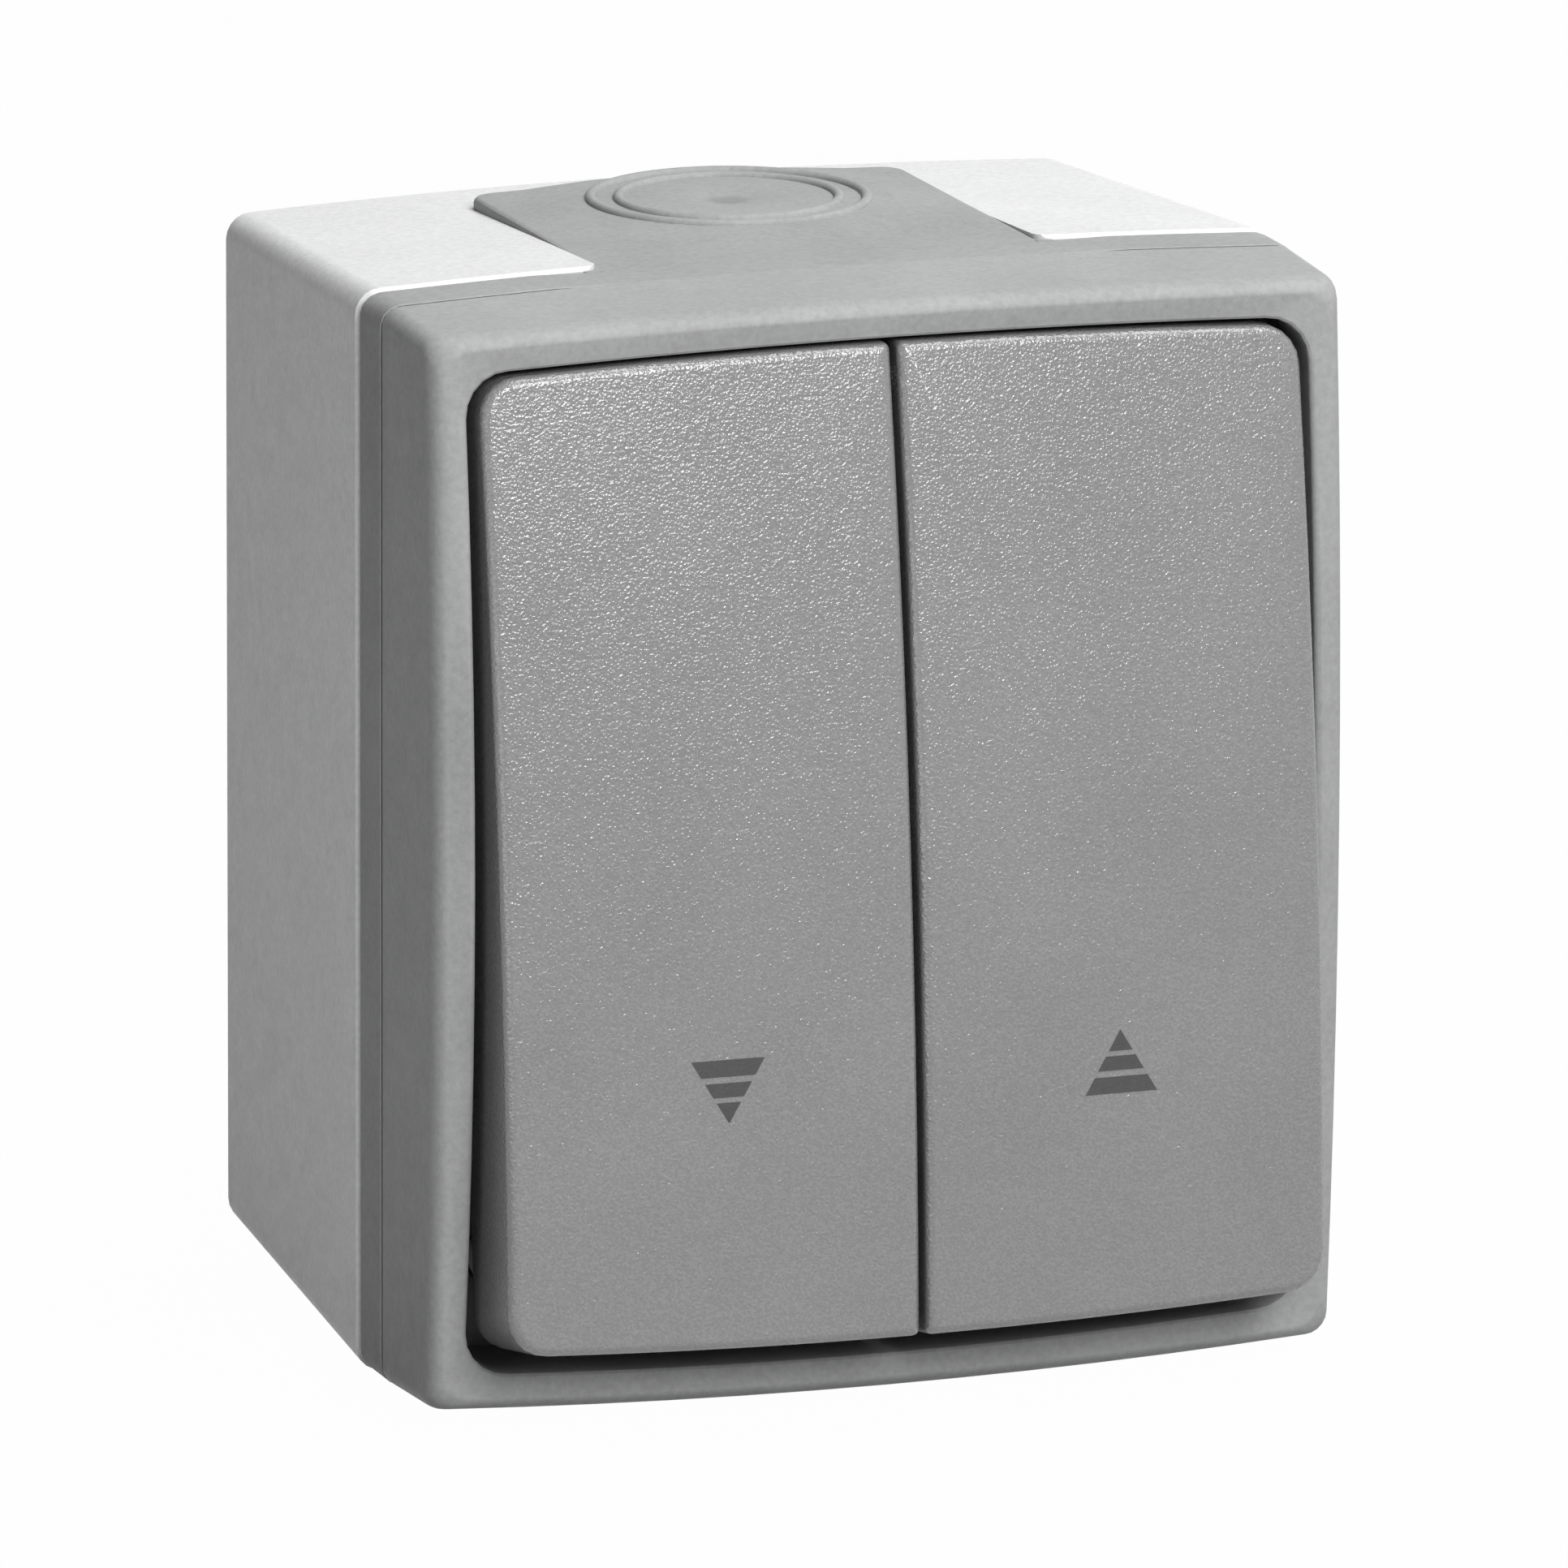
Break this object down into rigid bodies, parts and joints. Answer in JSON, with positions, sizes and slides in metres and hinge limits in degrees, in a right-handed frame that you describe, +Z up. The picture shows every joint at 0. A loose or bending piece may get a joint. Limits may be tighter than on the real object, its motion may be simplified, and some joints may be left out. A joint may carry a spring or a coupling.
{
  "type": "roller shutter switch",
  "caption": "Surface-mounted splash-proof roller shutter switch: drafted box with soft seal and cable membranes, domed frame and side-by-side tilting keys.",
  "frame": {"origin": "centre of the flat back of the box, where it meets the wall", "axes": "+Z up the wall, +Y into the wall, +X to the right as seen from the front"},
  "size_m": [0.0654, 0.057, 0.0768],
  "materials": {
    "box_plastic": "fine satin moulding, light grey",
    "seal_rubber": "soft matt elastomer, grey",
    "frame_plastic": "fine satin moulding, grey",
    "key_finish": "silver-grey, finely eroded with small glints",
    "mould_white": "moulded thermoplastic, off-white",
    "spring_steel": "drawn wire",
    "contact_brass": "pressed strip",
    "contact_silver": "silver contact metal",
    "plated_steel": "zinc plated"
  },
  "bodies": {
    "housing": {"back_box": "box_plastic", "seal": "seal_rubber", "front_frame": "frame_plastic", "fixed_contact_tips": "contact_silver", "common_contact": "contact_brass", "down_contact": "contact_brass", "up_contact": "contact_brass", "insert_base": "mould_white", "mounting_plate": "plated_steel", "insert_screws": "plated_steel", "frame_screws": "plated_steel", "terminal_screws": "plated_steel"},
    "left_rocker_unit": {"left_key": "key_finish", "left_rocker": "mould_white", "left_plunger": "mould_white", "left_spring": "spring_steel"},
    "right_rocker_unit": {"right_key": "key_finish", "right_rocker": "mould_white", "right_plunger": "mould_white", "right_spring": "spring_steel"},
    "left_lever_unit": {"left_contact_lever": "contact_brass", "left_contact_tip": "contact_silver"},
    "right_lever_unit": {"right_contact_lever": "contact_brass", "right_contact_tip": "contact_silver"}
  },
  "joints": [
    {"name": "left_key_tilt", "type": "hinge", "parent": "housing", "child": "left_rocker_unit", "pos_m": [-0.0105, -0.04055, 0], "axis": [1, 0, 0], "range_deg": [0, 12]},
    {"name": "right_key_tilt", "type": "hinge", "parent": "housing", "child": "right_rocker_unit", "pos_m": [0.0105, -0.04055, 0], "axis": [1, 0, 0], "range_deg": [0, 12]},
    {"name": "left_lever_tilt", "type": "hinge", "parent": "housing", "child": "left_lever_unit", "pos_m": [-0.0105, -0.02595, 0], "axis": [1, 0, 0], "range_deg": [-10.2, 0]},
    {"name": "right_lever_tilt", "type": "hinge", "parent": "housing", "child": "right_lever_unit", "pos_m": [0.0105, -0.02595, 0], "axis": [1, 0, 0], "range_deg": [-10.2, 0]}
  ],
  "couplings": [
    {"joint": "left_lever_tilt", "follows": "left_key_tilt", "ratio": -0.8333},
    {"joint": "right_lever_tilt", "follows": "right_key_tilt", "ratio": -0.8333}
  ]
}
